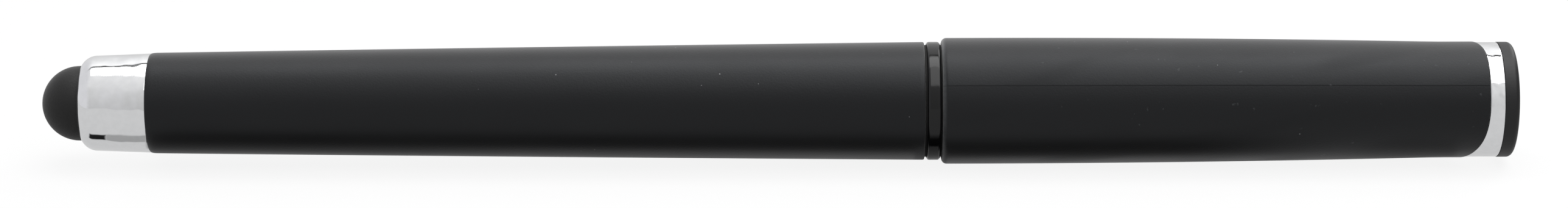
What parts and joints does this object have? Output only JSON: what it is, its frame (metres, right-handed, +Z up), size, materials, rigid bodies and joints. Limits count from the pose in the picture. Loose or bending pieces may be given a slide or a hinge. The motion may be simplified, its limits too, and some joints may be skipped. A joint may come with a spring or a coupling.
{
  "type": "stylus pen",
  "caption": "Capped pen with a rubber touch-screen dome on the barrel's end, a screw-in section with a spring-backed refill, and a pull-off cap with a bright crown and pocket clip.",
  "frame": {"origin": "apex of the touch dome, on the pen's axis", "axes": "+X along the pen from the touch dome to the cap's flat end; +Z up, with the pen lying on the cap's mouth and the edge of its clip, and the clip at the back, towards +Y"},
  "size_m": [0.14, 0.0141, 0.012],
  "materials": {
    "soft_touch_black": "soft-touch rubberised coat",
    "black_plastic": "fine satin",
    "section_plastic": "polished",
    "bright_metal": "polished plating",
    "black_rubber": "smooth moulded",
    "post_metal": "turned",
    "steel": "drawn wire and turned tip",
    "clear_plastic": "clear tube",
    "natural_plastic": "natural moulded",
    "ink": "wet",
    "grease": "translucent"
  },
  "bodies": {
    "barrel": {"barrel": "soft_touch_black", "stylus_dome": "black_rubber", "stylus_ferrule": "bright_metal", "stylus_post": "post_metal", "refill_spring": "steel"},
    "refill": {"refill_tail_plug": "natural_plastic", "refill_tube": "clear_plastic", "ink_follower": "grease", "ink_column": "ink", "refill_connector": "natural_plastic", "refill_point": "steel"},
    "ball": {"writing_ball": "steel"},
    "section": {"grip_section": "section_plastic", "nose_cone": "bright_metal", "centre_ring": "black_plastic"},
    "cap": {"cap_sleeve": "soft_touch_black", "inner_cap": "natural_plastic", "clip": "bright_metal", "cap_end_plug": "black_plastic"}
  },
  "joints": [
    {"name": "refill_advance", "type": "slide", "parent": "barrel", "child": "refill", "axis": [1, 0, 0], "range_m": [0, 0.00451], "deforming": ["refill_spring"]},
    {"name": "section_unscrew", "type": "hinge", "parent": "refill", "child": "section", "pos_m": [0.08404, 0, 0], "axis": [1, 0, 0], "range_deg": [0, 2160]},
    {"name": "cap_pull", "type": "slide", "parent": "section", "child": "cap", "axis": [1, 0, 0], "range_m": [0, 0.045]},
    {"name": "ball_roll", "type": "hinge", "parent": "refill", "child": "ball", "pos_m": [0.12615, 0, 0], "axis": [0, 0, 1], "continuous": true}
  ],
  "couplings": [
    {"joint": "refill_advance", "follows": "section_unscrew", "m_per_rad": 0.00011937}
  ]
}
